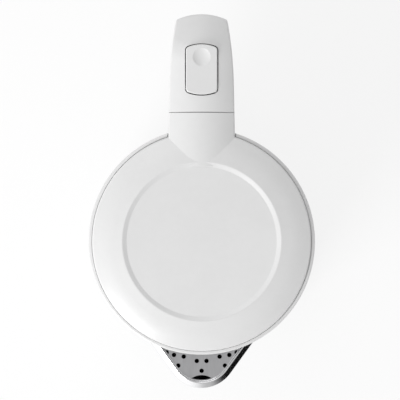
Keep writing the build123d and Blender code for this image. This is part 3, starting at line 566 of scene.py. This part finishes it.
class KETTLE_OT_finish(bpy.types.Operator):
    """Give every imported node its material"""

    bl_idname = "kettle.finish"
    bl_label = "Finish the kettle's parts"

    def execute(self, context):
        look = context.scene.kettle_finish
        kinds = {
            "white_plastic": white_plastic(look.white),
            "white_inner": satin_plastic(look.satin),
            "grey_plastic": moulded_plastic("grey_plastic", look.light_grey, 0.48, 0.9).material,
            "dark_plastic": eroded_plastic("black_nylon", look.black, 0.52),
            "polished_steel": polished_steel(),
            "brushed_steel": spun_steel(),
            "aluminium": cast_metal("cast_aluminium", grey(0.58), grey(0.70),
                                    0.38, 1500, 0.00008),
            "element_sheath": cast_metal("element_sheath", (0.42, 0.41, 0.40, 1),
                                         (0.60, 0.58, 0.56, 1), 0.42, 1200, 0.00008),
            "spring_steel": cast_metal("spring_wire", grey(0.38), grey(0.52),
                                       0.26, 2500, 0.00002),
            "zinc_plate": cast_metal("zinc_plate", (0.56, 0.56, 0.53, 1), (0.70, 0.70, 0.68, 1),
                                     0.30, 2200, 0.00003),
            "brass": cast_metal("brass", (0.60, 0.44, 0.16, 1), (0.76, 0.60, 0.28, 1),
                                0.24, 2200, 0.00002),
            "silicone": rubber("grey_silicone", grey(0.42)),
            "foot_rubber": rubber("black_rubber", grey(0.025)),
            "lens": lamp_lens(),
        }
        sheet = brushed_sheet()
        for part in frame["record"]["subparts"]:
            strainer = part["node"] == "spout_strainer"
            paint_with(frame["nodes"][part["node"]],
                       sheet if strainer else kinds[part["material_slot"]])
        return {"FINISHED"}


class KETTLE_OT_strainer(bpy.types.Operator):
    """Draw a short punched collar down under every hole of the spout's strainer"""

    bl_idname = "kettle.strainer"
    bl_label = "Strainer collars"

    def execute(self, context):
        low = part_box("spout_strainer")[0].z
        tip = low - context.scene.kettle_trim.collar
        sunk = low + 0.1 * MM
        root, rim, bore = HOLE + 0.35 * MM, HOLE + 0.15 * MM, HOLE + 0.02 * MM
        collar = hoop("collar", [(root, sunk), (rim, tip), (bore, tip), (bore, sunk)], 24)
        holes = [(0.0, y) for y in MIDDLE_HOLES]
        for x, y in SIDE_HOLES:
            holes += [(x, y), (-x, y)]
        collars = copies(collar, "strainer_collars", [(x * MM, -y * MM, 0.0) for x, y in holes])
        smooth(collars, 50)
        dress(collars, "spout_strainer", "jug")
        return {"FINISHED"}


class KETTLE_OT_lip_bead(bpy.types.Operator):
    """Run a bead along the joint between the pouring lip and the strainer"""

    bl_idname = "kettle.lip_bead"
    bl_label = "Lip bead"

    def execute(self, context):
        thick = context.scene.kettle_trim.bead / 2
        inset = LIP_WIDTH + thick * 0.8
        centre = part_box("spout_lip")[0].y + LIP_BEND
        bend = LIP_BEND - inset
        half_turn = pi / 2 - LIP_ANGLE
        path = []
        for k in range(2 * BEAD_STEPS + 1):
            turn = half_turn * (k / BEAD_STEPS - 1)
            path.append((bend * sin(turn), centre - bend * cos(turn)))
        side, ahead = BEAD_SIDE * sin(LIP_ANGLE), BEAD_SIDE * cos(LIP_ANGLE)
        path.insert(0, (path[0][0] - side, path[0][1] + ahead))
        path.append((path[-1][0] + side, path[-1][1] + ahead))
        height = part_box("spout_strainer")[1].z + thick * 0.2
        bead = follow("lip_bead", path, height, thick, 10)
        smooth(bead, 60)
        dress(bead, "spout_lip", "jug")
        return {"FINISHED"}


class KETTLE_OT_level_marks(bpy.types.Operator):
    """Emboss the filling marks inside the pot"""

    bl_idname = "kettle.level_marks"
    bl_label = "Filling marks"

    def execute(self, context):
        marks = []
        for height, half in LEVELS:
            place = wall("liner", (0, 0, height), (1, 0, 0))
            marks.append(bar("mark", (place.x - 0.1 * MM, 0, height),
                             (0.5 * MM, 2 * half * MM, 1.1 * MM), 0.2 * MM))
        dress(joined("level_marks", marks), "liner", "jug")
        return {"FINISHED"}


class KETTLE_OT_lid_ribs(bpy.types.Operator):
    """Stiffen the lid's underside with ribs and a drip ring"""

    bl_idname = "kettle.lid_ribs"
    bl_label = "Ribs under the lid"

    def execute(self, context):
        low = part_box("lid_inner")[0].z
        rib = bar("rib", (34 * MM, 0, low), LID_RIB, 0.35 * MM)
        turns = [(0, 0, CIRCLE * k / LID_RIBS) for k in range(LID_RIBS)]
        ribs = copies(rib, "lid_ribs", turns)
        smooth(ribs, 40)
        dress(ribs, "lid_inner", "lid")
        for name, radius, deep in LID_RINGS:
            inner, outer = (radius - 0.8) * MM, (radius + 0.8) * MM
            tip = low - deep * MM
            ring = hoop(name, [(inner, low + 0.3 * MM), (inner, tip + 0.5 * MM),
                               (inner + 0.4 * MM, tip), (outer - 0.4 * MM, tip),
                               (outer, tip + 0.5 * MM), (outer, low + 0.3 * MM)], 128)
            smooth(ring, 50)
            dress(ring, "lid_inner", "lid")
        return {"FINISHED"}


class KETTLE_OT_base_ribs(bpy.types.Operator):
    """Ribs moulded under the power base"""

    bl_idname = "kettle.base_ribs"
    bl_label = "Ribs under the base"

    def execute(self, context):
        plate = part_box("base_plate")[0].z
        size = (22 * MM, 1.6 * MM, 2 * BASE_RIB_DEPTH)
        rib = bar("rib", (33 * MM, 0, plate), size, 0.25 * MM)
        turns = [(0, 0, CIRCLE * (k + 0.5) / BASE_RIBS)
                 for k in range(BASE_RIBS) if k not in CORD_GAP]
        ribs = copies(rib, "base_ribs", turns)
        smooth(ribs, 40)
        dress(ribs, "base_plate", "base")
        return {"FINISHED"}


class KETTLE_OT_grip_ribs(bpy.types.Operator):
    """Rounded ribs for the fingers on the inside of the grip"""

    bl_idname = "kettle.grip_ribs"
    bl_label = "Grip ribs"

    def execute(self, context):
        ribs = []
        for k in range(GRIP_RIBS):
            height = GRIP_START + GRIP_STEP * k
            place = wall("handle_lining", (0, 0.1, height), (0, 1, 0))
            ribs.append(bar("rib", (0, place.y, height), GRIP_RIB, 0.5 * MM, 3))
        grip = joined("grip_ribs", ribs)
        smooth(grip, 60)
        dress(grip, "handle_lining", "jug")
        return {"FINISHED"}


class KETTLE_OT_stage(bpy.types.Operator):
    """Set the floor, the light and the camera"""

    bl_idname = "kettle.stage"
    bl_label = "Floor, light and camera"

    def execute(self, context):
        scene = context.scene
        stage = scene.kettle_stage
        deselect()
        bpy.ops.mesh.primitive_grid_add(x_subdivisions=8, y_subdivisions=8, size=FLOOR_SIDE,
                                        location=(0, 0, 0))
        floor = named("studio_floor")
        paint_with(floor, floor_paint(stage.floor, stage.glow))
        for softbox in LAMPS:
            self.lamp(scene, *softbox)
        self.surroundings(scene)
        eye = bpy.data.cameras.new("camera")
        eye.sensor_width = SENSOR
        eye.lens = SENSOR * stage.height / stage.width
        eye.clip_start = 0.05
        camera = bpy.data.objects.new("camera", eye)
        camera.location = (CAMERA_X, CAMERA_Y, cad_box[1][2] + stage.height)
        scene.collection.objects.link(camera)
        scene.camera = camera
        scene.view_settings.view_transform = "Standard"
        return {"FINISHED"}

    def lamp(self, scene, name, place, size, power):
        """A square softbox, turned to face the kettle."""
        light = bpy.data.lights.new(name, "AREA")
        light.shape = "SQUARE"
        light.size = size
        light.energy = power
        lamp = bpy.data.objects.new(name, light)
        lamp.location = place
        back = Vector(place) - Vector(LAMP_AIM)
        lamp.rotation_euler = back.to_track_quat("Z", "Y").to_euler()
        scene.collection.objects.link(lamp)

    def surroundings(self, scene):
        """A pale room: brighter on the left, a bright card low down, shade on the right."""
        world = bpy.data.worlds.new("studio")
        scene.world = world
        world.use_nodes = True
        tree = world.node_tree
        where = tree.nodes.new("ShaderNodeTexCoord").outputs["Generated"]
        side = self.towards(tree, where, (-1, 0, 0), (-0.9, 0.9), (0.50, 0.67))
        card = self.towards(tree, where, (-0.75, -0.62, -0.35), (0.45, 0.80), (0.0, 0.55))
        shade = self.towards(tree, where, (0.985, -0.174, -0.9), (0.28, 0.655), (1.0, 0.01))
        bright = tree.nodes.new("ShaderNodeMath")
        tree.links.new(side, bright.inputs[0])
        tree.links.new(card, bright.inputs[1])
        product = tree.nodes.new("ShaderNodeMath")
        product.operation = "MULTIPLY"
        tree.links.new(bright.outputs[0], product.inputs[0])
        tree.links.new(shade, product.inputs[1])
        background = tree.nodes["Background"]
        background.inputs["Color"].default_value = (1, 1, 1, 1)
        tree.links.new(product.outputs[0], background.inputs["Strength"])

    def towards(self, tree, where, heading, share, levels):
        """Brightness that changes smoothly with how far a direction heads one way."""
        along = tree.nodes.new("ShaderNodeVectorMath")
        along.operation = "DOT_PRODUCT"
        along.inputs[1].default_value = heading
        tree.links.new(where, along.inputs[0])
        level = tree.nodes.new("ShaderNodeMapRange")
        level.interpolation_type = "SMOOTHSTEP"
        for socket, value in zip(("From Min", "From Max", "To Min", "To Max"), share + levels):
            level.inputs[socket].default_value = value
        tree.links.new(along.outputs["Value"], level.inputs["Value"])
        return level.outputs[0]


class KETTLE_PT_panel(bpy.types.Panel):
    bl_label = "Electric Kettle"
    bl_idname = "KETTLE_PT_panel"
    bl_space_type = "VIEW_3D"
    bl_region_type = "UI"
    bl_category = "Kettle"

    def draw(self, context):
        layout = self.layout
        for name in ("kettle_finish", "kettle_trim", "kettle_stage"):
            group = getattr(context.scene, name)
            box = layout.box()
            for prop in type(group).__annotations__:
                box.prop(group, prop)
        for operator in PIECES:
            layout.operator(operator.bl_idname)


PIECES = (KETTLE_OT_finish, KETTLE_OT_strainer, KETTLE_OT_lip_bead, KETTLE_OT_level_marks,
          KETTLE_OT_lid_ribs, KETTLE_OT_base_ribs, KETTLE_OT_grip_ribs, KETTLE_OT_stage)
GROUPS = {"kettle_finish": KettleFinishSettings, "kettle_trim": KettleTrimSettings,
          "kettle_stage": KettleStageSettings}


def register():
    for group in GROUPS.values():
        bpy.utils.register_class(group)
    for name, group in GROUPS.items():
        setattr(bpy.types.Scene, name, bpy.props.PointerProperty(type=group))
    for operator in PIECES:
        bpy.utils.register_class(operator)
    bpy.utils.register_class(KETTLE_PT_panel)


def unregister():
    bpy.utils.unregister_class(KETTLE_PT_panel)
    for operator in reversed(PIECES):
        bpy.utils.unregister_class(operator)
    for name, group in GROUPS.items():
        delattr(bpy.types.Scene, name)
        bpy.utils.unregister_class(group)


def main():
    register()
    for operator in PIECES:
        group, name = operator.bl_idname.split(".")
        getattr(getattr(bpy.ops, group), name)()


if __name__ == "__main__":
    main()
